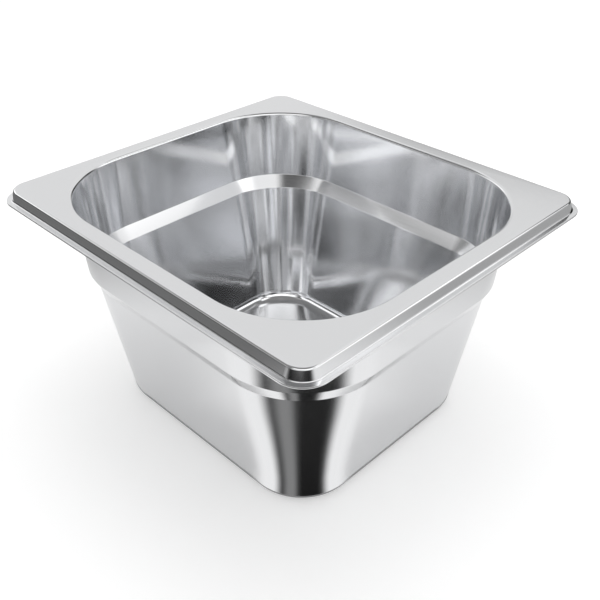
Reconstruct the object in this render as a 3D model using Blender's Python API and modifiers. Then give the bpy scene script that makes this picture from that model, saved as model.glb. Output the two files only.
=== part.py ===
"""A food pan for a deli counter, drawn from one blank of stainless steel sheet.

Units are metres, with +Z up.  The origin is at the centre of the underside of the floor, so the pan
stands on the plane z = 0.  X runs along the longer side of the rim and Y along the shorter one.

The upper and inner face of the sheet is lofted through rounded rectangles, from the edge of the lip
up over the rim, down the walls and in to the floor.  Solidify then gives the sheet its thickness.
"""

import math
from typing import NamedTuple

import bmesh
import bpy

OBJECT_NAME = "deli_food_pan"
BODY_NAME = "pan_body"

# Overall size, outside
RIM_LENGTH = 0.176
RIM_WIDTH = 0.162
PAN_DEPTH = 0.100
SHEET = 0.0007

# Rim: a flat shelf, a skirt that slopes out as it goes down, and a flat lip at the skirt's foot
RIM_CORNER = 0.0106
LIP_WIDTH = 0.0021
SKIRT_SPREAD = 0.0013
SKIRT_DROP = 0.0042
RIM_SHELF = 0.0075
LIP_BEND = 0.0005
CREASE_BEND = 0.0009

# Mouth and upper wall
OPENING_CORNER = 0.0408
OPENING_BEND = 0.0013
UPPER_DRAFT = math.radians(5.5)

# Shoulder that stops nested pans from jamming
SHOULDER_DROP = 0.0317
SHOULDER_HEIGHT = 0.0061
SHOULDER_STEP = 0.0030
SHOULDER_TOP_CORNER = 0.0362
SHOULDER_FOOT_CORNER = 0.0332
SHOULDER_BEND = 0.0010

# Lower wall and floor
LOWER_DRAFT = math.radians(9.3)
FLOOR_CORNER = 0.0225
FLOOR_BEND = 0.0054

# Fineness of the facets
CORNER_STEPS = 12
TIGHT_BEND_STEPS = 2
EDGE_BEND_STEPS = 4
FLOOR_BEND_STEPS = 5
SHARP_ANGLE = math.radians(40)

# Finish
STEEL_COLOUR = (0.72, 0.73, 0.75, 1.0)
STEEL_ROUGHNESS = 0.22
STEEL_METALLIC = 1.0


class Station(NamedTuple):
    """A bend line round the pan: where two straight stretches of the section would meet."""

    inset: float  # in from the edge of the lip
    height: float  # above the underside of the floor
    corner: float  # corner radius seen from above
    bend: float = 0.0  # radius of the bend in the section
    steps: int = TIGHT_BEND_STEPS


def clear_scene():
    """Removes whatever the scene starts with."""
    for obj in list(bpy.data.objects):
        bpy.data.objects.remove(obj, do_unlink=True)


def stations():
    """The bend lines of the sheet's upper and inner face, from the edge of the lip to the floor."""
    lip_height = PAN_DEPTH - SKIRT_DROP
    crease_inset = LIP_WIDTH + SKIRT_SPREAD
    opening_inset = crease_inset + RIM_SHELF
    shoulder_top_inset = opening_inset + SHOULDER_DROP * math.tan(UPPER_DRAFT)
    shoulder_foot_inset = shoulder_top_inset + SHOULDER_STEP
    shoulder_top_height = PAN_DEPTH - SHOULDER_DROP
    shoulder_foot_height = shoulder_top_height - SHOULDER_HEIGHT
    floor_inset = shoulder_foot_inset + (shoulder_foot_height - SHEET) * math.tan(LOWER_DRAFT)
    return [
        Station(0.0, lip_height, RIM_CORNER),
        Station(LIP_WIDTH, lip_height, RIM_CORNER - LIP_WIDTH, LIP_BEND),
        Station(crease_inset, PAN_DEPTH, RIM_CORNER - crease_inset, CREASE_BEND),
        Station(opening_inset, PAN_DEPTH, OPENING_CORNER, OPENING_BEND, EDGE_BEND_STEPS),
        Station(shoulder_top_inset, shoulder_top_height, SHOULDER_TOP_CORNER, SHOULDER_BEND),
        Station(shoulder_foot_inset, shoulder_foot_height, SHOULDER_FOOT_CORNER, SHOULDER_BEND),
        Station(floor_inset, SHEET, FLOOR_CORNER, FLOOR_BEND, FLOOR_BEND_STEPS),
        Station(floor_inset + FLOOR_BEND, SHEET, FLOOR_CORNER - FLOOR_BEND),
    ]


def unit(dx, dz):
    """The unit vector along (dx, dz)."""
    length = math.hypot(dx, dz)
    return dx / length, dz / length


def bend_rings(before, station, after):
    """Rings along the round bend at a station.

    The bend is an arc that touches both straight stretches.  Its rings are offsets of the station's
    own rounded rectangle, so the corner radius shrinks as much as the ring moves in.
    """
    in_x, in_z = unit(station.inset - before.inset, station.height - before.height)
    out_x, out_z = unit(after.inset - station.inset, after.height - station.height)
    turn = math.atan2(in_x * out_z - in_z * out_x, in_x * out_x + in_z * out_z)
    tangent = station.bend * math.tan(abs(turn) / 2)
    side = math.copysign(1.0, turn)
    start_x = station.inset - tangent * in_x
    start_z = station.height - tangent * in_z
    centre_x = start_x - side * station.bend * in_z
    centre_z = start_z + side * station.bend * in_x
    rings = []
    for step in range(station.steps + 1):
        angle = turn * step / station.steps
        arm_x = start_x - centre_x
        arm_z = start_z - centre_z
        inset = centre_x + arm_x * math.cos(angle) - arm_z * math.sin(angle)
        height = centre_z + arm_x * math.sin(angle) + arm_z * math.cos(angle)
        rings.append(Station(inset, height, station.corner - (inset - station.inset)))
    return rings


def section_rings():
    """Every ring of the loft, in order, with each bend rounded."""
    bends = stations()
    rings = [bends[0]]
    for before, station, after in zip(bends, bends[1:], bends[2:]):
        rings.extend(bend_rings(before, station, after))
    return rings


def rounded_rectangle(ring):
    """Points of a rounded rectangle, counter-clockwise seen from above."""
    half_x = RIM_LENGTH / 2 - ring.inset
    half_y = RIM_WIDTH / 2 - ring.inset
    points = []
    for quarter, (side_x, side_y) in enumerate(((1, 1), (-1, 1), (-1, -1), (1, -1))):
        centre_x = side_x * (half_x - ring.corner)
        centre_y = side_y * (half_y - ring.corner)
        for step in range(CORNER_STEPS + 1):
            angle = math.radians(90) * (quarter + step / CORNER_STEPS)
            x = centre_x + ring.corner * math.cos(angle)
            y = centre_y + ring.corner * math.sin(angle)
            points.append((x, y, ring.height))
    return points


def lofted_sheet():
    """The upper and inner face of the sheet, with the floor closed.

    Neighbouring rings are unlike rounded rectangles with the same number of points, so each point is
    joined to the one of the same number on the next ring.
    """
    mesh = bmesh.new()
    rings = [[mesh.verts.new(point) for point in rounded_rectangle(ring)] for ring in section_rings()]
    for outer, inner in zip(rings, rings[1:]):
        for index in range(len(outer)):
            mesh.faces.new((outer[index - 1], outer[index], inner[index], inner[index - 1]))
    mesh.faces.new(rings[-1])
    return mesh


def steel():
    """Plain satin stainless steel."""
    material = bpy.data.materials.new("stainless_steel")
    material.use_nodes = True
    shader = material.node_tree.nodes["Principled BSDF"]
    shader.inputs["Base Color"].default_value = STEEL_COLOUR
    shader.inputs["Roughness"].default_value = STEEL_ROUGHNESS
    shader.inputs["Metallic"].default_value = STEEL_METALLIC
    return material


def pan_body(collection):
    """The whole pressing: the lofted face with the sheet's thickness added below and outside it."""
    sheet = lofted_sheet()
    data = bpy.data.meshes.new(BODY_NAME)
    sheet.to_mesh(data)
    sheet.free()
    data.shade_smooth()
    data.set_sharp_from_angle(angle=SHARP_ANGLE)
    data.materials.append(steel())
    body = bpy.data.objects.new(BODY_NAME, data)
    collection.objects.link(body)
    thickness = body.modifiers.new("sheet_thickness", "SOLIDIFY")
    thickness.thickness = SHEET
    thickness.offset = -1.0
    thickness.use_even_offset = True
    thickness.use_quality_normals = True
    return body


def main():
    clear_scene()
    collection = bpy.data.collections.new(OBJECT_NAME)
    bpy.context.scene.collection.children.link(collection)
    pan_body(collection)


main()
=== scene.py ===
"""Looks of a deli food pan: one satin steel pressing on a pale studio floor.

Units are metres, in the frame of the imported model: +Z up, the pan standing on z = 0 and X along the
longer side of its rim.  The pan's shape follows one rule, so a node tree makes it: a section with round
bends is carried round rounded rectangles whose corners keep their centres.
"""

import logging
import math
from dataclasses import dataclass
from enum import Enum
from typing import NamedTuple

import bpy
from mathutils import Matrix, Vector


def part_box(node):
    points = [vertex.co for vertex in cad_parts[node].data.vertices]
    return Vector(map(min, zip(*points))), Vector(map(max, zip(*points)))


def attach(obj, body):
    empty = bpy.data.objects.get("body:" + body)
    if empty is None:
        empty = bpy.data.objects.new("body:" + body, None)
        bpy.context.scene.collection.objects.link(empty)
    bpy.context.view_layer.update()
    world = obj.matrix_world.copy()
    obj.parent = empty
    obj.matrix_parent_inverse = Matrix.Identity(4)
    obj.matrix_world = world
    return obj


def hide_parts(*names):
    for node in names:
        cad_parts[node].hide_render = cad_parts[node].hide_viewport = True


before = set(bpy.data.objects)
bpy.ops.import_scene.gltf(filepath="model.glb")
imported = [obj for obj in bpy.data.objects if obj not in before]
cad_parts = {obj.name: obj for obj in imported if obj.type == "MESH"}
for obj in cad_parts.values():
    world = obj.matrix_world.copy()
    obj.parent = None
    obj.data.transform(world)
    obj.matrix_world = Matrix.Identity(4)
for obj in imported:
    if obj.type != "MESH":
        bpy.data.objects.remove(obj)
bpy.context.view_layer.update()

LOG = logging.getLogger("deli_food_pan")
BODY_NODE = "pan_body"
BODY = "root"
SHEET_UV = "sheet_uv"
QUARTER_TURN = math.radians(90)
CORNERS = 4
SEAM_DISTANCE = 0.000001
SAME_RING = 0.5
STEEL_BOUNCES = 10
# Size and height of the dark plate under the pan, a painted contact shade that the foot of its wall mirrors
SHADE_PLATE_MARGIN = 0.002
SHADE_PLATE_HEIGHT = 0.0003
FAN_START = 0.024
FAN_END = 0.11

# Numbers of the Mix node's colour sockets, whose names it uses more than once
MIX_FIRST_COLOUR = 6
MIX_SECOND_COLOUR = 7
MIX_RESULT = 2


class Tone(Enum):
    """How bright a studio card looks."""

    BLACK = 0.012
    CHARCOAL = 0.08
    DUSK = 0.18
    SLATE = 0.25
    GREY = 0.42
    PALE = 0.85
    WHITE = 1.0
    LAMP = 1.8


class Surface(Enum):
    """What a studio card lies on, and so how its reach is measured."""

    WALL = "height above the floor"
    ROOF = "distance in from the wall"
    FLOOR = "distance from the pan's middle"
    CORNER = "distance from the axis of the pan's front corner"


@dataclass(frozen=True)
class Card:
    """A dark flag, a pale wall or a bright soft box that only the steel sees, bent round the pan.

    Its angles are in degrees from the camera's side of the pan, seen from above, and grow to the
    camera's right.  Its reach is in metres along the surface that it lies on.  It fades out at its
    edges over the soft turn and the soft reach.
    """

    name: str
    tone: Tone
    surface: Surface
    middle: float
    half: float
    start: float
    end: float
    soft_turn: float = 20.0
    soft_reach: float = 0.2

    def span(self) -> tuple[float, float, float, float]:
        """Where the card has faded out.

        Returns:
            The outermost two angles, and then the outermost two reaches.
        """
        turn = self.half + self.soft_turn / 2
        fringe = self.soft_reach / 2
        return self.middle - turn, self.middle + turn, self.start - fringe, self.end + fringe

    def cover(self, turn: float, reach: float) -> float:
        """How much of what is behind the card it hides at a point.

        Args:
            turn: the point's angle.
            reach: how far along the surface it lies.

        Returns:
            From 0 at the outer edge to 1 inside.
        """
        first, last, start, end = self.span()
        cover = 1.0
        if self.soft_turn:
            cover *= eased(min(turn - first, last - turn) / self.soft_turn)
        if self.soft_reach:
            cover *= eased(min(reach - start, end - reach) / self.soft_reach)
        return cover


def eased(share: float) -> float:
    """A smooth step from 0 to 1."""
    share = min(max(share, 0.0), 1.0)
    return share * share * (3 - 2 * share)


def corner_card(name: str, tone: Tone, middle: float, half: float, soft_turn: float) -> Card:
    """A card that fans out on the floor round the front corner, with no soft edge along its reach."""
    return Card(name, tone, Surface.CORNER, middle, half, FAN_START, FAN_END, soft_turn, soft_reach=0.0)


CARDS = (
    # The rim mirrors the back wall, and the skirts and mouth edges mirror the low flags at the sides.
    Card("back_wall", Tone.PALE, Surface.WALL, 180, 60, 0.0, 1.7),
    Card("left_flag", Tone.BLACK, Surface.WALL, -90, 45, -0.2, 0.45),
    Card("back_right_flag", Tone.BLACK, Surface.WALL, 135, 35, -0.2, 0.6),
    Card("front_low_flag", Tone.CHARCOAL, Surface.WALL, -15, 45, -0.2, 0.1),
    Card("front_black_flag", Tone.BLACK, Surface.WALL, 20, 15, -0.2, 0.1),
    # The inside of the pan mirrors what is higher up, dark flags between bright boxes.
    Card("front_flag", Tone.CHARCOAL, Surface.WALL, -30, 30, 0.6, 0.9),
    Card("middle_right_flag", Tone.BLACK, Surface.WALL, 120, 20, 0.6, 1.0),
    Card("high_left_flag", Tone.BLACK, Surface.WALL, -75, 45, 0.8, 1.7),
    Card("high_right_flag", Tone.BLACK, Surface.WALL, 80, 30, 0.8, 1.7),
    Card("roof_flag", Tone.SLATE, Surface.ROOF, 0, 180, 0.3, 1.3, soft_turn=0.0),
    Card("back_left_box", Tone.LAMP, Surface.WALL, -120, 25, 0.4, 0.7),
    Card("front_box", Tone.LAMP, Surface.WALL, 0, 45, 0.9, 1.6),
    Card("right_box", Tone.LAMP, Surface.WALL, 80, 30, 0.5, 1.0),
    Card("roof_box", Tone.LAMP, Surface.ROOF, 90, 35, 0.0, 0.6),
    # The skirt and lip mirror the floor further out.
    Card("floor_left_flag", Tone.DUSK, Surface.FLOOR, -105, 45, 0.18, 1.3, soft_reach=0.1),
    Card("floor_right_flag", Tone.GREY, Surface.FLOOR, 105, 30, 0.18, 1.3, soft_reach=0.1),
    Card("floor_front_flag", Tone.BLACK, Surface.FLOOR, -10, 45, 0.22, 1.3, soft_reach=0.0),
    # The round front corner mirrors the floor close to it as dark, grey and black bands with white flanks.
    corner_card("corner_box", Tone.WHITE, 0, 90, soft_turn=40),
    corner_card("corner_flag", Tone.CHARCOAL, 0, 45, soft_turn=20),
    corner_card("corner_grey_flag", Tone.SLATE, -20, 10, soft_turn=15),
    corner_card("corner_black_flag", Tone.BLACK, 15, 20, soft_turn=15),
)


class Station(NamedTuple):
    """A bend line round the pan: where two straight stretches of its section would meet."""

    inset: float
    height: float
    corner_centre: float
    bend: float
    steps: int


class TreeSketch:
    """Adds nodes to a node tree with one short call per node."""

    def __init__(self, tree: bpy.types.NodeTree) -> None:
        """Keeps the tree that the nodes go into.

        Args:
            tree: a geometry or shader node tree.
        """
        self.tree = tree

    def feed(self, socket: bpy.types.NodeSocket, value: object) -> None:
        """Links a socket to another one, or sets its own value.

        Args:
            socket: the input to feed.
            value: an output socket to link, or a plain value.
        """
        if isinstance(value, bpy.types.NodeSocket):
            self.tree.links.new(value, socket)
        else:
            socket.default_value = value

    def add(self, kind: str, inputs: dict | None = None, **settings: object) -> bpy.types.Node:
        """Adds one node.

        Args:
            kind: the node's type name.
            inputs: input name or number to a socket or a plain value.
            settings: the node's own properties.

        Returns:
            The new node.
        """
        node = self.tree.nodes.new(kind)
        for name, value in settings.items():
            setattr(node, name, value)
        for key, value in (inputs or {}).items():
            self.feed(node.inputs[key], value)
        return node

    def math(self, operation: str, *values: object) -> bpy.types.NodeSocket:
        """Adds a Math node.

        Args:
            operation: the node's operation, such as MULTIPLY.
            values: its inputs in order, sockets or numbers.

        Returns:
            The node's output.
        """
        node = self.add("ShaderNodeMath", dict(enumerate(values)), operation=operation)
        return node.outputs[0]

    def noise(self, place: bpy.types.NodeSocket, scale: float, detail: float) -> bpy.types.NodeSocket:
        """Adds a Noise Texture node.

        Args:
            place: the point to read the noise at.
            scale: how finely it changes.
            detail: how many finer layers it has.

        Returns:
            The noise, from 0 to 1.
        """
        node = self.add("ShaderNodeTexNoise", {"Vector": place, "Scale": scale, "Detail": detail})
        return node.outputs[0]

    def switch(self, data_type: str, index: bpy.types.NodeSocket, values: list) -> bpy.types.NodeSocket:
        """Adds an Index Switch that picks one value for each point.

        Args:
            data_type: FLOAT, INT or VECTOR.
            index: which value to pick.
            values: sockets or plain values, in order.

        Returns:
            The picked value.
        """
        node = self.add("GeometryNodeIndexSwitch", data_type=data_type)
        while len(node.index_switch_items) < len(values):
            node.index_switch_items.new()
        self.feed(node.inputs[0], index)
        for number, value in enumerate(values):
            self.feed(node.inputs[number + 1], value)
        return node.outputs[0]


@dataclass(frozen=True)
class SteelFinish:
    """Smooth satin stainless sheet: a soft mirror with a faint grain along the drawing direction."""

    name: str = "satin_stainless"
    light_tone: tuple[float, ...] = (0.81, 0.815, 0.825, 1.0)
    deep_tone: tuple[float, ...] = (0.785, 0.79, 0.80, 1.0)
    tone_scale: float = 14.0
    tone_detail: float = 3.0
    least_roughness: float = 0.10
    most_roughness: float = 0.14
    patch_scale: float = 45.0
    patch_detail: float = 4.0
    grain_share: float = 0.5
    smooth_level: float = 0.3
    rough_level: float = 0.7
    grain_around: float = 60.0
    grain_across: float = 2600.0
    grain_detail: float = 2.0
    grain_height: float = 0.0000012
    wave_scale: float = 22.0
    wave_detail: float = 0.0
    wave_height: float = 0.00002

    def build(self) -> bpy.types.Material:
        """Makes the material.

        Returns:
            The steel, ready to assign.
        """
        material = bpy.data.materials.new(self.name)
        material.use_nodes = True
        sketch = TreeSketch(material.node_tree)
        shader = material.node_tree.nodes["Principled BSDF"]
        shader.inputs["Metallic"].default_value = 1.0
        place = sketch.add("ShaderNodeTexCoord").outputs["Object"]
        sketch.feed(shader.inputs["Base Color"], self.tone(sketch, place))
        grain = self.grain(sketch)
        sketch.feed(shader.inputs["Roughness"], self.roughness(sketch, place, grain))
        sketch.feed(shader.inputs["Normal"], self.relief(sketch, place, grain))
        return material

    def tone(self, sketch: TreeSketch, place: bpy.types.NodeSocket) -> bpy.types.NodeSocket:
        """Cloudy change between two steel greys.

        Args:
            sketch: the material's tree.
            place: the point on the pan.

        Returns:
            The colour.
        """
        mix = sketch.add("ShaderNodeMix", data_type="RGBA")
        sketch.feed(mix.inputs["Factor"], sketch.noise(place, self.tone_scale, self.tone_detail))
        sketch.feed(mix.inputs[MIX_FIRST_COLOUR], self.deep_tone)
        sketch.feed(mix.inputs[MIX_SECOND_COLOUR], self.light_tone)
        return mix.outputs[MIX_RESULT]

    def grain(self, sketch: TreeSketch) -> bpy.types.NodeSocket:
        """Fine lines that run round the pan.

        Args:
            sketch: the material's tree.

        Returns:
            The height of the grain, from 0 to 1.
        """
        around = sketch.add("ShaderNodeUVMap", uv_map=SHEET_UV).outputs[0]
        stretch = sketch.add("ShaderNodeMapping", {"Vector": around})
        stretch.inputs["Scale"].default_value = (self.grain_around, self.grain_across, 1.0)
        return sketch.noise(stretch.outputs[0], 1.0, self.grain_detail)

    def roughness(
        self, sketch: TreeSketch, place: bpy.types.NodeSocket, grain: bpy.types.NodeSocket
    ) -> bpy.types.NodeSocket:
        """Roughness that changes in soft patches and along the grain.

        Args:
            sketch: the material's tree.
            place: the point on the pan.
            grain: the height of the grain.

        Returns:
            The roughness.
        """
        noise = sketch.noise(place, self.patch_scale, self.patch_detail)
        patches = sketch.math("MULTIPLY", noise, 1.0 - self.grain_share)
        both = sketch.math("MULTIPLY_ADD", grain, self.grain_share, patches)
        spread = sketch.add("ShaderNodeMapRange", {"Value": both})
        spread.inputs["From Min"].default_value = self.smooth_level
        spread.inputs["From Max"].default_value = self.rough_level
        spread.inputs["To Min"].default_value = self.least_roughness
        spread.inputs["To Max"].default_value = self.most_roughness
        return spread.outputs[0]

    def relief(
        self, sketch: TreeSketch, place: bpy.types.NodeSocket, grain: bpy.types.NodeSocket
    ) -> bpy.types.NodeSocket:
        """The grain on top of the slow waves that a press leaves in sheet.

        Args:
            sketch: the material's tree.
            place: the point on the pan.
            grain: the height of the grain.

        Returns:
            The surface normal.
        """
        waves = sketch.noise(place, self.wave_scale, self.wave_detail)
        slow = sketch.add("ShaderNodeBump", {"Height": waves, "Distance": self.wave_height})
        fine = sketch.add("ShaderNodeBump", {"Height": grain, "Distance": self.grain_height})
        sketch.feed(fine.inputs["Normal"], slow.outputs[0])
        return fine.outputs[0]


@dataclass
class PanPressing:
    """The pan: lip, skirt, rim shelf, upper wall, shoulder, lower wall and floor of one drawn sheet."""

    length: float
    width: float
    depth: float
    sheet: float = 0.0007
    rim_corner: float = 0.0106
    lip_width: float = 0.0021
    lip_bend: float = 0.0005
    skirt_spread: float = 0.0013
    skirt_drop: float = 0.0042
    crease_bend: float = 0.0009
    rim_shelf: float = 0.0075
    mouth_corner: float = 0.0408
    mouth_bend: float = 0.0013
    upper_draft: float = math.radians(5.5)
    shoulder_drop: float = 0.0317
    shoulder_height: float = 0.0061
    shoulder_step: float = 0.0030
    shoulder_top_corner: float = 0.0362
    shoulder_foot_corner: float = 0.0332
    shoulder_bend: float = 0.0010
    lower_draft: float = math.radians(9.3)
    floor_corner: float = 0.0225
    floor_bend: float = 0.0054
    corner_steps: int = 40
    tight_steps: int = 6
    wide_steps: int = 14
    cut_edge: float = 0.00012
    cut_edge_steps: int = 2
    cut_edge_angle: float = math.radians(60)
    flat_weight: int = 60
    name: str = "pan_shell"

    def stations(self) -> list[Station]:
        """The bend lines of the sheet's upper and inner face.

        Returns:
            The stations from the cut edge of the lip to the flat of the floor.
        """
        lip_height = self.depth - self.skirt_drop
        crease = self.lip_width + self.skirt_spread
        mouth = crease + self.rim_shelf
        top = mouth + self.shoulder_drop * math.tan(self.upper_draft)
        top_height = self.depth - self.shoulder_drop
        foot = top + self.shoulder_step
        foot_height = top_height - self.shoulder_height
        floor = foot + (foot_height - self.sheet) * math.tan(self.lower_draft)
        floor_centre = floor + self.floor_corner
        tight, wide = self.tight_steps, self.wide_steps
        return [
            Station(0.0, lip_height, self.rim_corner, 0.0, 1),
            Station(self.lip_width, lip_height, self.rim_corner, self.lip_bend, tight),
            Station(crease, self.depth, self.rim_corner, self.crease_bend, tight),
            Station(mouth, self.depth, mouth + self.mouth_corner, self.mouth_bend, tight),
            Station(top, top_height, top + self.shoulder_top_corner, self.shoulder_bend, tight),
            Station(foot, foot_height, foot + self.shoulder_foot_corner, self.shoulder_bend, tight),
            Station(floor, self.sheet, floor_centre, self.floor_bend, wide),
            Station(floor + self.floor_bend, self.sheet, floor_centre, 0.0, 1),
        ]

    def floor_corner_axis(self) -> Vector:
        """The foot of the upright axis of the front right corner."""
        centre = self.stations()[-1].corner_centre
        return Vector((self.length / 2 - centre, centre - self.width / 2, 0.0))

    def foot_outline(self, margin: float, height: float) -> list[Vector]:
        """A rounded rectangle round the foot of the wall.

        Args:
            margin: how far it stands outside the wall.
            height: how high it lies above the floor.

        Returns:
            Its points, in order.
        """
        foot = self.stations()[-2]
        radius = foot.corner_centre - foot.inset + self.sheet + margin
        reach = Vector((self.length / 2 - foot.corner_centre, self.width / 2 - foot.corner_centre, 0.0))
        points = []
        for quarter, (side_x, side_y) in enumerate(((1, 1), (-1, 1), (-1, -1), (1, -1))):
            for step in range(self.corner_steps + 1):
                angle = (quarter + step / self.corner_steps) * QUARTER_TURN
                arm = Vector((math.cos(angle), math.sin(angle), 0.0)) * radius
                points.append(Vector((side_x * reach.x, side_y * reach.y, height)) + arm)
        return points

    def build(self, finish: bpy.types.Material) -> bpy.types.Object:
        """Makes the pan as a plain mesh.

        Args:
            finish: the steel.

        Returns:
            The finished piece, at the origin, with its place in its mesh.
        """
        draft = bpy.data.objects.new(self.name + "_draft", bpy.data.meshes.new(self.name + "_draft"))
        bpy.context.scene.collection.objects.link(draft)
        self.add_loft(draft, finish)
        self.add_sheet(draft)
        graph = bpy.context.evaluated_depsgraph_get()
        mesh = bpy.data.meshes.new_from_object(
            draft.evaluated_get(graph), preserve_all_data_layers=True, depsgraph=graph
        )
        mesh.name = self.name
        bpy.data.objects.remove(draft)
        pan = bpy.data.objects.new(self.name, mesh)
        bpy.context.scene.collection.objects.link(pan)
        return pan

    def add_loft(self, draft: bpy.types.Object, finish: bpy.types.Material) -> None:
        """Gives the draft object the node tree of the loft.

        Args:
            draft: the object to give it to.
            finish: the steel.
        """
        tree = bpy.data.node_groups.new("pan_loft", "GeometryNodeTree")
        loft = LoftTree(tree, self.stations())
        loft.build()
        modifier = draft.modifiers.new("pan_loft", "NODES")
        modifier.node_group = tree
        values = {"Rim length": self.length, "Rim width": self.width, "Corner steps": self.corner_steps}
        values["Finish"] = finish
        values.update(loft.station_values())
        for socket in tree.interface.items_tree:
            if socket.item_type == "SOCKET" and socket.name in values:
                modifier[socket.identifier] = values[socket.name]

    def add_sheet(self, draft: bpy.types.Object) -> None:
        """Gives the lofted face its thickness and its cut edge.

        Args:
            draft: the object that holds the loft.
        """
        thickness = draft.modifiers.new("sheet", "SOLIDIFY")
        thickness.thickness = self.sheet
        thickness.offset = -1.0
        thickness.use_even_offset = True
        thickness.use_quality_normals = True
        edge = draft.modifiers.new("cut_edge", "BEVEL")
        edge.width = self.cut_edge
        edge.segments = self.cut_edge_steps
        edge.limit_method = "ANGLE"
        edge.angle_limit = self.cut_edge_angle
        flats = draft.modifiers.new("flats", "WEIGHTED_NORMAL")
        flats.weight = self.flat_weight
        flats.keep_sharp = True

    def dress(self, pan: bpy.types.Object) -> None:
        """Attaches the pan to the body it rides on and hides the node that it replaces.

        Args:
            pan: the finished piece.
        """
        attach(pan, BODY)
        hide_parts(BODY_NODE)


class LoftTree:
    """Node tree that carries a section with round bends round rounded rectangles."""

    def __init__(self, tree: bpy.types.NodeTree, stations: list[Station]) -> None:
        """Makes the tree's inputs.

        Args:
            tree: an empty geometry tree.
            stations: the bend lines, from the outside in.
        """
        self.tree = tree
        self.stations = stations
        self.sketch = TreeSketch(tree)
        self.count = len(stations)
        face = tree.interface
        face.new_socket("Rim length", in_out="INPUT", socket_type="NodeSocketFloat")
        face.new_socket("Rim width", in_out="INPUT", socket_type="NodeSocketFloat")
        face.new_socket("Corner steps", in_out="INPUT", socket_type="NodeSocketInt")
        face.new_socket("Finish", in_out="INPUT", socket_type="NodeSocketMaterial")
        for number in range(self.count):
            face.new_socket(f"Place {number}", in_out="INPUT", socket_type="NodeSocketVector")
            face.new_socket(f"Corner centre {number}", in_out="INPUT", socket_type="NodeSocketFloat")
            face.new_socket(f"Bend {number}", in_out="INPUT", socket_type="NodeSocketFloat")
            face.new_socket(f"Bend steps {number}", in_out="INPUT", socket_type="NodeSocketInt")
        face.new_socket("Sheet", in_out="OUTPUT", socket_type="NodeSocketGeometry")
        self.given = self.sketch.add("NodeGroupInput").outputs

    def station_values(self) -> dict[str, object]:
        """The values of the station inputs.

        Returns:
            Each value by its input's name.
        """
        values = {}
        for number, station in enumerate(self.stations):
            values[f"Place {number}"] = (station.inset, 0.0, station.height)
            values[f"Corner centre {number}"] = station.corner_centre
            values[f"Bend {number}"] = station.bend
            values[f"Bend steps {number}"] = station.steps
        return values

    def per_station(self, label: str) -> list[bpy.types.NodeSocket]:
        """The inputs of that label, one for each station."""
        return [self.given[f"{label} {number}"] for number in range(self.count)]

    def build(self) -> None:
        """Fills the tree: section, grid, rings, floor and finish."""
        sketch = self.sketch
        section = self.section()
        size = sketch.add("GeometryNodeAttributeDomainSize", {0: section}, component="CURVE")
        rings = size.outputs["Point Count"]
        per_corner = sketch.math("ADD", self.given["Corner steps"], 1.0)
        columns = sketch.math("MULTIPLY_ADD", per_corner, CORNERS, 1.0)
        grid = sketch.add("GeometryNodeMeshGrid", {"Vertices X": columns, "Vertices Y": rings})
        index = sketch.add("GeometryNodeInputIndex").outputs[0]
        ring = sketch.math("FLOORED_MODULO", index, rings)
        column = sketch.math("FLOOR", sketch.math("DIVIDE", index, rings))
        rows = self.mapped(grid.outputs["Mesh"], section, ring, column)
        innermost = sketch.math("COMPARE", ring, sketch.math("SUBTRACT", rings, 1.0), SAME_RING)
        sheet = self.with_floor(rows, self.at_points("BOOLEAN", innermost))
        joined = sketch.add("GeometryNodeMergeByDistance", {"Geometry": sheet, "Distance": SEAM_DISTANCE})
        smooth = sketch.add("GeometryNodeSetShadeSmooth", {"Geometry": joined.outputs[0]})
        real = sketch.add("GeometryNodeRealizeInstances", {"Geometry": smooth.outputs[0]})
        dressed = sketch.add("GeometryNodeSetMaterial", {"Geometry": real.outputs[0]})
        sketch.feed(dressed.inputs["Material"], self.given["Finish"])
        out = sketch.add("NodeGroupOutput")
        sketch.feed(out.inputs["Sheet"], dressed.outputs[0])

    def section(self) -> bpy.types.NodeSocket:
        """The section as a curve, inset along X and height along Z, with its bends rounded.

        Returns:
            The curve.
        """
        sketch = self.sketch
        index = sketch.add("GeometryNodeInputIndex").outputs[0]
        line = sketch.add("GeometryNodeMeshLine", {"Count": self.count})
        places = sketch.switch("VECTOR", index, self.per_station("Place"))
        placed = sketch.add("GeometryNodeSetPosition", {"Geometry": line.outputs[0], "Position": places})
        centres = sketch.switch("FLOAT", index, self.per_station("Corner centre"))
        named = sketch.add("GeometryNodeStoreNamedAttribute", data_type="FLOAT", domain="POINT")
        sketch.feed(named.inputs["Geometry"], placed.outputs[0])
        sketch.feed(named.inputs["Name"], "corner_centre")
        sketch.feed(named.inputs["Value"], centres)
        curve = sketch.add("GeometryNodeMeshToCurve", {0: named.outputs[0]})
        bends = sketch.switch("FLOAT", index, self.per_station("Bend"))
        steps = sketch.switch("INT", index, self.per_station("Bend steps"))
        rounded = sketch.add("GeometryNodeFilletCurve", mode="POLY")
        sketch.feed(rounded.inputs["Curve"], curve.outputs[0])
        sketch.feed(rounded.inputs["Count"], steps)
        sketch.feed(rounded.inputs["Radius"], bends)
        return rounded.outputs[0]

    def sampled(
        self,
        data_type: str,
        section: bpy.types.NodeSocket,
        value: bpy.types.NodeSocket,
        ring: bpy.types.NodeSocket,
    ) -> bpy.types.NodeSocket:
        """A value of the section at a ring's point.

        Args:
            data_type: FLOAT or FLOAT_VECTOR.
            section: the curve.
            value: what to read there.
            ring: the number of the point.

        Returns:
            The value.
        """
        node = self.sketch.add("GeometryNodeSampleIndex", data_type=data_type, domain="POINT")
        self.sketch.feed(node.inputs["Geometry"], section)
        self.sketch.feed(node.inputs["Value"], value)
        self.sketch.feed(node.inputs["Index"], ring)
        return node.outputs["Value"]

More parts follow.
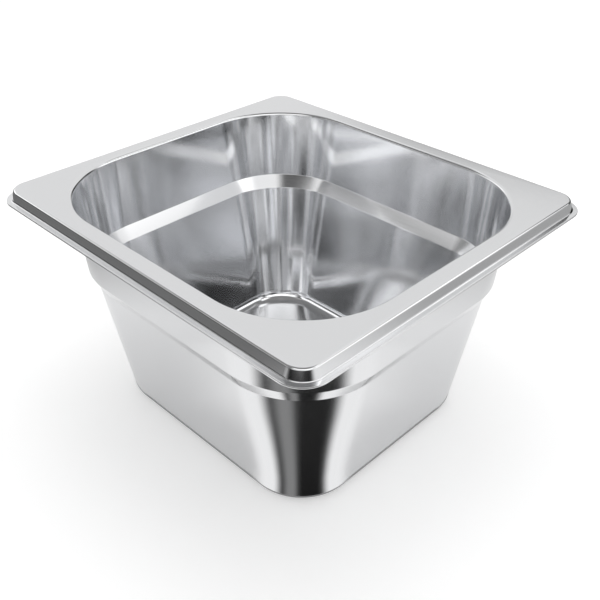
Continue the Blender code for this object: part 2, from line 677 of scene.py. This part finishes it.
    def at_points(self, data_type: str, value: bpy.types.NodeSocket) -> bpy.types.NodeSocket:
        """Reads a value at the points even where edges or face corners ask for it.

        Args:
            data_type: the value's type.
            value: what to read.

        Returns:
            The value, carried over from the points.
        """
        node = self.sketch.add("GeometryNodeFieldOnDomain", {0: value}, data_type=data_type, domain="POINT")
        return node.outputs[0]

    def mapped(
        self,
        grid: bpy.types.NodeSocket,
        section: bpy.types.NodeSocket,
        ring: bpy.types.NodeSocket,
        column: bpy.types.NodeSocket,
    ) -> bpy.types.NodeSocket:
        """Puts the grid's points on the rounded rectangles, and keeps a map along the sheet.

        Args:
            grid: a grid with a column for each point of a ring.
            section: the curve that gives each ring its inset and height.
            ring: each point's ring number.
            column: each point's number along its ring.

        Returns:
            The grid in its place.
        """
        sketch = self.sketch
        place = sketch.add("GeometryNodeInputPosition").outputs[0]
        spot = sketch.add("ShaderNodeSeparateXYZ", {0: self.sampled("FLOAT_VECTOR", section, place, ring)})
        kept = sketch.add("GeometryNodeInputNamedAttribute", {"Name": "corner_centre"}, data_type="FLOAT")
        centre = self.sampled("FLOAT", section, kept.outputs[0], ring)
        run = sketch.add("GeometryNodeSplineParameter").outputs["Length"]
        across = self.sampled("FLOAT", section, run, ring)
        radius = sketch.math("SUBTRACT", centre, spot.outputs["X"])
        per_corner = sketch.math("ADD", self.given["Corner steps"], 1.0)
        quarter = sketch.math("FLOOR", sketch.math("DIVIDE", column, per_corner))
        step = sketch.math("FLOORED_MODULO", column, per_corner)
        turned = sketch.math("ADD", quarter, sketch.math("DIVIDE", step, self.given["Corner steps"]))
        angle = sketch.math("MULTIPLY", turned, QUARTER_TURN)
        diagonal = sketch.math("MULTIPLY_ADD", quarter, QUARTER_TURN, QUARTER_TURN / 2)
        axes = []
        for side, wave in (("Rim length", "COSINE"), ("Rim width", "SINE")):
            reach = sketch.math("SUBTRACT", sketch.math("DIVIDE", self.given[side], 2.0), centre)
            sign = sketch.math("SIGN", sketch.math(wave, diagonal))
            arm = sketch.math("MULTIPLY", radius, sketch.math(wave, angle))
            axes.append(sketch.math("MULTIPLY_ADD", sign, reach, arm))
        point = sketch.add("ShaderNodeCombineXYZ", {0: axes[0], 1: axes[1], 2: spot.outputs["Z"]})
        around = sketch.math("MULTIPLY", turned, self.given["Rim length"])
        spread = sketch.add("ShaderNodeCombineXYZ", {0: around, 1: across, 2: 0.0})
        marked = sketch.add("GeometryNodeStoreNamedAttribute", data_type="FLOAT2", domain="CORNER")
        sketch.feed(marked.inputs["Geometry"], grid)
        sketch.feed(marked.inputs["Name"], SHEET_UV)
        sketch.feed(marked.inputs["Value"], self.at_points("FLOAT_VECTOR", spread.outputs[0]))
        moved = sketch.add("GeometryNodeSetPosition", {"Geometry": marked.outputs[0]})
        sketch.feed(moved.inputs["Position"], point.outputs[0])
        return moved.outputs[0]

    def with_floor(self, rows: bpy.types.NodeSocket, last: bpy.types.NodeSocket) -> bpy.types.NodeSocket:
        """Closes the floor by drawing its edge in to the middle.

        Args:
            rows: the rings.
            last: true on the innermost ring.

        Returns:
            The closed sheet.
        """
        sketch = self.sketch
        drawn = sketch.add("GeometryNodeExtrudeMesh", mode="EDGES")
        sketch.feed(drawn.inputs["Mesh"], rows)
        sketch.feed(drawn.inputs["Selection"], last)
        sketch.feed(drawn.inputs["Offset Scale"], 0.0)
        place = sketch.add("GeometryNodeInputPosition").outputs[0]
        spot = sketch.add("ShaderNodeSeparateXYZ", {0: place})
        middle = sketch.add("ShaderNodeCombineXYZ", {0: 0.0, 1: 0.0, 2: spot.outputs["Z"]})
        closed = sketch.add("GeometryNodeSetPosition", {"Geometry": drawn.outputs["Mesh"]})
        sketch.feed(closed.inputs["Selection"], drawn.outputs["Top"])
        sketch.feed(closed.inputs["Position"], middle.outputs[0])
        return closed.outputs[0]


@dataclass
class Studio:
    """Pale floor, white surroundings, one large soft lamp, the cards that shape the reflections and a
    painted shade plate.
    """

    corner: Vector
    # The outline of the dark plate under the pan that paints its contact shade
    foot: list[Vector]
    camera_turn: float
    floor_side: float = 6.0
    floor_tone: float = 0.82
    floor_lift: float = 0.28
    mirror_lift: float = 0.12
    card_lift: float = 0.0006
    floor_card_gap: float = 0.0001
    card_gap: float = 0.01
    card_columns: int = 48
    card_rows: int = 12
    fan_narrowing: float = 0.55
    fan_taper: float = 0.04
    wall_radius: float = 1.3
    roof_height: float = 1.7
    sky_light: float = 0.85
    lamp_place: tuple[float, float, float] = (-0.15, 0.2, 1.1)
    lamp_side: float = 0.9
    lamp_power: float = 3.0

    def build(self) -> None:
        """Makes the floor, the surroundings, the lamp and the cards."""
        self.floor()
        self.sky()
        self.lamp()
        for layer, card in enumerate(CARDS):
            self.hang(self.card_mesh(card, layer), card.tone)
        # A dark plate under the pan: painted contact shade for the foot and shoulder to mirror
        self.hang(self.painted_shade_plate(), Tone.SLATE)

    def spot(self, card: Card, turn: float, reach: float, layer: int) -> Vector:
        """Where a point of a card is.

        Args:
            card: the card.
            turn: the point's angle from the camera's side, in degrees.
            reach: how far along the card's surface it lies.
            layer: the card's number; a later card lies in front of an earlier one.

        Returns:
            The point.
        """
        axis, radius, height = Vector((0.0, 0.0, 0.0)), reach, self.card_lift + layer * self.floor_card_gap
        if card.surface is Surface.WALL:
            radius, height = self.wall_radius - layer * self.card_gap, reach
        elif card.surface is Surface.ROOF:
            radius, height = self.wall_radius - reach, self.roof_height - layer * self.card_gap
        elif card.surface is Surface.CORNER:
            axis = self.corner
            tapered = min((reach - card.start) / self.fan_taper, 1.0)
            turn *= self.fan_narrowing + (1 - self.fan_narrowing) * tapered
        angle = self.camera_turn + math.radians(turn)
        radius = max(radius, 0.0)
        return axis + Vector((radius * math.cos(angle), radius * math.sin(angle), height))

    def card_mesh(self, card: Card, layer: int) -> bpy.types.Mesh:
        """Makes a card as a grid whose points know how much they hide.

        Args:
            card: the card.
            layer: its number.

        Returns:
            The mesh.
        """
        first, last, start, end = card.span()
        points, covers = [], []
        for column in range(self.card_columns + 1):
            turn = first + (last - first) * column / self.card_columns
            for row in range(self.card_rows + 1):
                reach = start + (end - start) * row / self.card_rows
                points.append(self.spot(card, turn, reach, layer))
                covers.append(card.cover(turn, reach))
        line = self.card_rows + 1
        faces = []
        for column in range(self.card_columns):
            for low in range(column * line, column * line + self.card_rows):
                faces.append((low, low + line, low + line + 1, low + 1))
        mesh = bpy.data.meshes.new(card.name)
        mesh.from_pydata(points, [], faces)
        mesh.attributes.new("cover", "FLOAT", "POINT").data.foreach_set("value", covers)
        return mesh

    def painted_shade_plate(self) -> bpy.types.Mesh:
        """Makes the dark plate under the pan, a painted contact shade, which shows in the foot of its wall.

        Returns:
            The mesh.
        """
        mesh = bpy.data.meshes.new("painted_foot_shade")
        mesh.from_pydata(self.foot, [], [tuple(range(len(self.foot)))])
        mesh.attributes.new("cover", "FLOAT", "POINT").data.foreach_set("value", [1.0] * len(self.foot))
        return mesh

    def hang(self, mesh: bpy.types.Mesh, tone: Tone) -> None:
        """Puts a card in the studio, where only the steel sees it.

        Args:
            mesh: the card's mesh.
            tone: how bright it looks.
        """
        mesh.materials.append(self.glow(tone))
        card = bpy.data.objects.new(mesh.name, mesh)
        bpy.context.scene.collection.objects.link(card)
        for ray in ("camera", "diffuse", "shadow", "volume_scatter"):
            setattr(card, f"visible_{ray}", False)

    def glow(self, tone: Tone) -> bpy.types.Material:
        """A shade that needs no lamp and shows what is behind it where its cover is low.

        Args:
            tone: how bright it looks.

        Returns:
            The material, the same one for each card of that tone.
        """
        name = "card_" + tone.name.lower()
        if name in bpy.data.materials:
            return bpy.data.materials[name]
        material = bpy.data.materials.new(name)
        material.use_nodes = True
        material.node_tree.nodes.clear()
        sketch = TreeSketch(material.node_tree)
        cover = sketch.add("ShaderNodeAttribute", attribute_name="cover").outputs["Fac"]
        shade = sketch.add("ShaderNodeEmission", {"Strength": tone.value})
        mix = sketch.add("ShaderNodeMixShader", {"Fac": cover})
        sketch.feed(mix.inputs[1], sketch.add("ShaderNodeBsdfTransparent").outputs[0])
        sketch.feed(mix.inputs[2], shade.outputs[0])
        out = sketch.add("ShaderNodeOutputMaterial")
        sketch.feed(out.inputs["Surface"], mix.outputs[0])
        return material

    def floor(self) -> None:
        """Lays the floor, which keeps the pan's shadow.

        A little light of its own lifts it to white for what looks at it, and less so for mirrors.
        """
        mesh = bpy.data.meshes.new("studio_floor")
        half = self.floor_side / 2
        corners = [(-half, -half, 0), (half, -half, 0), (half, half, 0), (-half, half, 0)]
        mesh.from_pydata(corners, [], [tuple(range(CORNERS))])
        material = bpy.data.materials.new("pale_floor")
        material.use_nodes = True
        sketch = TreeSketch(material.node_tree)
        shader = material.node_tree.nodes["Principled BSDF"]
        shader.inputs["Base Color"].default_value = (self.floor_tone, self.floor_tone, self.floor_tone, 1.0)
        shader.inputs["Roughness"].default_value = 1.0
        shader.inputs["Specular IOR Level"].default_value = 0.0
        shader.inputs["Emission Color"].default_value = (1.0, 1.0, 1.0, 1.0)
        path = sketch.add("ShaderNodeLightPath").outputs
        looked_at = sketch.math("ADD", path["Is Camera Ray"], path["Is Transmission Ray"])
        mirrored = sketch.math("MULTIPLY", path["Is Glossy Ray"], self.mirror_lift)
        lift = sketch.math("MULTIPLY_ADD", looked_at, self.floor_lift, mirrored)
        sketch.feed(shader.inputs["Emission Strength"], lift)
        mesh.materials.append(material)
        floor = bpy.data.objects.new("studio_floor", mesh)
        bpy.context.scene.collection.objects.link(floor)

    def seen(self, sketch: TreeSketch) -> bpy.types.NodeSocket:
        """Tells the rays that look at the surroundings from those that only light things.

        Args:
            sketch: the world's tree.

        Returns:
            1 for a ray from the camera, a mirror or glass, else 0.
        """
        path = sketch.add("ShaderNodeLightPath").outputs
        either = sketch.math("ADD", path["Is Camera Ray"], path["Is Glossy Ray"])
        total = sketch.math("ADD", either, path["Is Transmission Ray"])
        return sketch.math("MINIMUM", total, 1.0)

    def sky(self) -> None:
        """White surroundings for what looks at them, and even soft light for the rest."""
        world = bpy.data.worlds.new("studio_sky")
        bpy.context.scene.world = world
        world.use_nodes = True
        sketch = TreeSketch(world.node_tree)
        background = world.node_tree.nodes["Background"]
        background.inputs["Color"].default_value = (1.0, 1.0, 1.0, 1.0)
        span = sketch.add("ShaderNodeMapRange", {"Value": self.seen(sketch)})
        span.inputs["To Min"].default_value = self.sky_light
        span.inputs["To Max"].default_value = 1.0
        sketch.feed(background.inputs["Strength"], span.outputs[0])

    def lamp(self) -> None:
        """Hangs the soft lamp above the pan."""
        data = bpy.data.lights.new("soft_lamp", "AREA")
        data.size = self.lamp_side
        data.energy = self.lamp_power
        lamp = bpy.data.objects.new("soft_lamp", data)
        lamp.location = self.lamp_place
        lamp.rotation_euler = (-Vector(self.lamp_place)).to_track_quat("-Z", "Y").to_euler()
        lamp.visible_glossy = False
        bpy.context.scene.collection.objects.link(lamp)


@dataclass(frozen=True)
class PhotoCamera:
    """The view of the photograph, aimed at the middle of the rim and then slid sideways and down."""

    lens: float = 47.8
    azimuth: float = math.radians(44.80)
    elevation: float = math.radians(34.20)
    distance: float = 0.32
    slide_right: float = 0.0045
    slide_up: float = -0.0431
    nearest: float = 0.01

    def build(self, aim: Vector) -> bpy.types.Object:
        """Makes the scene's camera.

        Args:
            aim: the middle of the rim.

        Returns:
            The camera.
        """
        flat = math.cos(self.elevation)
        right = Vector((math.cos(self.azimuth), math.sin(self.azimuth), 0.0))
        back = Vector((right.y * flat, -right.x * flat, math.sin(self.elevation)))
        up = back.cross(right)
        data = bpy.data.cameras.new("photo_camera")
        data.lens = self.lens
        data.clip_start = self.nearest
        camera = bpy.data.objects.new("photo_camera", data)
        spot = aim + back * self.distance + right * self.slide_right + up * self.slide_up
        turn = Matrix((right, up, back)).transposed()
        camera.matrix_world = Matrix.Translation(spot) @ turn.to_4x4()
        bpy.context.scene.collection.objects.link(camera)
        bpy.context.scene.camera = camera
        return camera


def main() -> None:
    """Builds the pan, the studio and the camera."""
    logging.basicConfig(level=logging.INFO, format="%(name)s: %(message)s")
    low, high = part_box(BODY_NODE)
    span = high - low
    pressing = PanPressing(length=span.x, width=span.y, depth=high.z)
    pan = pressing.build(SteelFinish().build())
    pressing.dress(pan)
    LOG.info("%s has %d faces", pan.name, len(pan.data.polygons))
    view = PhotoCamera()
    view.build(Vector((0.0, 0.0, high.z)))
    # The outline of the dark plate that paints the pan's contact shade
    foot = pressing.foot_outline(SHADE_PLATE_MARGIN, SHADE_PLATE_HEIGHT)
    Studio(pressing.floor_corner_axis(), foot, view.azimuth - QUARTER_TURN).build()
    bpy.context.scene.view_settings.view_transform = "Standard"
    bpy.context.scene.cycles.glossy_bounces = STEEL_BOUNCES


if __name__ == "__main__":
    main()
